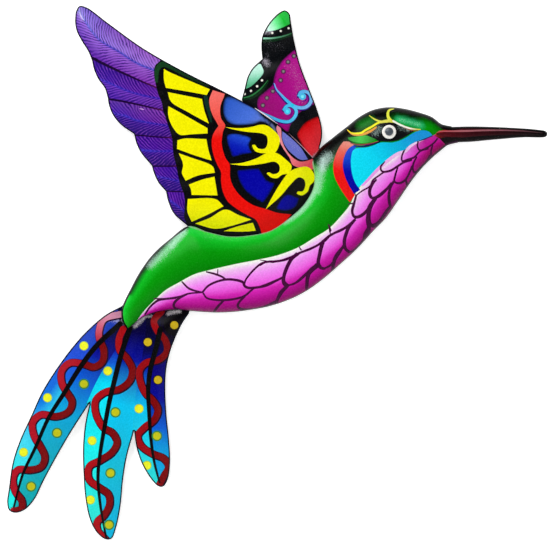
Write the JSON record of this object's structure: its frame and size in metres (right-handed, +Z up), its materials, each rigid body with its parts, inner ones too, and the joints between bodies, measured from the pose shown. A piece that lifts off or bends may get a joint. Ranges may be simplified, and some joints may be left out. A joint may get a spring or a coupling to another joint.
{
  "type": "hummingbird wall ornament",
  "caption": "Hummingbird wall ornament of pressed, enamelled steel sheets: a domed body, layered wings, a fanned tail and a long beak, riveted together and hung on a wire loop.",
  "frame": {"origin": "the nail's place on the wall: under the top of the wire loop, in the wall plane", "axes": "+Y points into the wall, so the painted side faces -Y; +X points the way the beak points; +Z is up"},
  "size_m": [0.3242, 0.021, 0.3205],
  "materials": {
    "body_enamel": "semi-gloss enamel: green back, pink scaled breast, black and cyan head",
    "near_wing_enamel": "semi-gloss enamel: purple feathers, yellow cells, red and blue panels, black lines",
    "far_wing_enamel": "semi-gloss enamel: magenta, mint and black with dots and scrolls",
    "tail_enamel": "semi-gloss enamel: navy to cyan with red waves and yellow dots",
    "beak_enamel": "semi-gloss enamel: black and dark red",
    "eye_white": "white enamel",
    "eye_grey": "grey enamel",
    "plated_steel": "zinc plated",
    "bumper_rubber": "matt moulded rubber"
  },
  "bodies": {
    "root": {"body_shell": "body_enamel", "near_wing": "near_wing_enamel", "far_wing": "far_wing_enamel", "tail_fan": "tail_enamel", "beak": "beak_enamel", "eye_ring": "eye_white", "eye_pupil": "eye_grey", "eye_washer": "plated_steel", "hanger_loop": "plated_steel", "rivet_near_wing_rear": "plated_steel", "rivet_near_wing_front": "plated_steel", "rivet_neck_upper": "plated_steel", "rivet_neck_lower": "plated_steel", "rivet_tail_left": "plated_steel", "rivet_tail_right": "plated_steel", "rivet_beak": "plated_steel", "bumper_wing_tip": "bumper_rubber", "bumper_far_wing": "bumper_rubber", "bumper_tail_left": "bumper_rubber", "bumper_tail_centre": "bumper_rubber"}
  },
  "joints": []
}
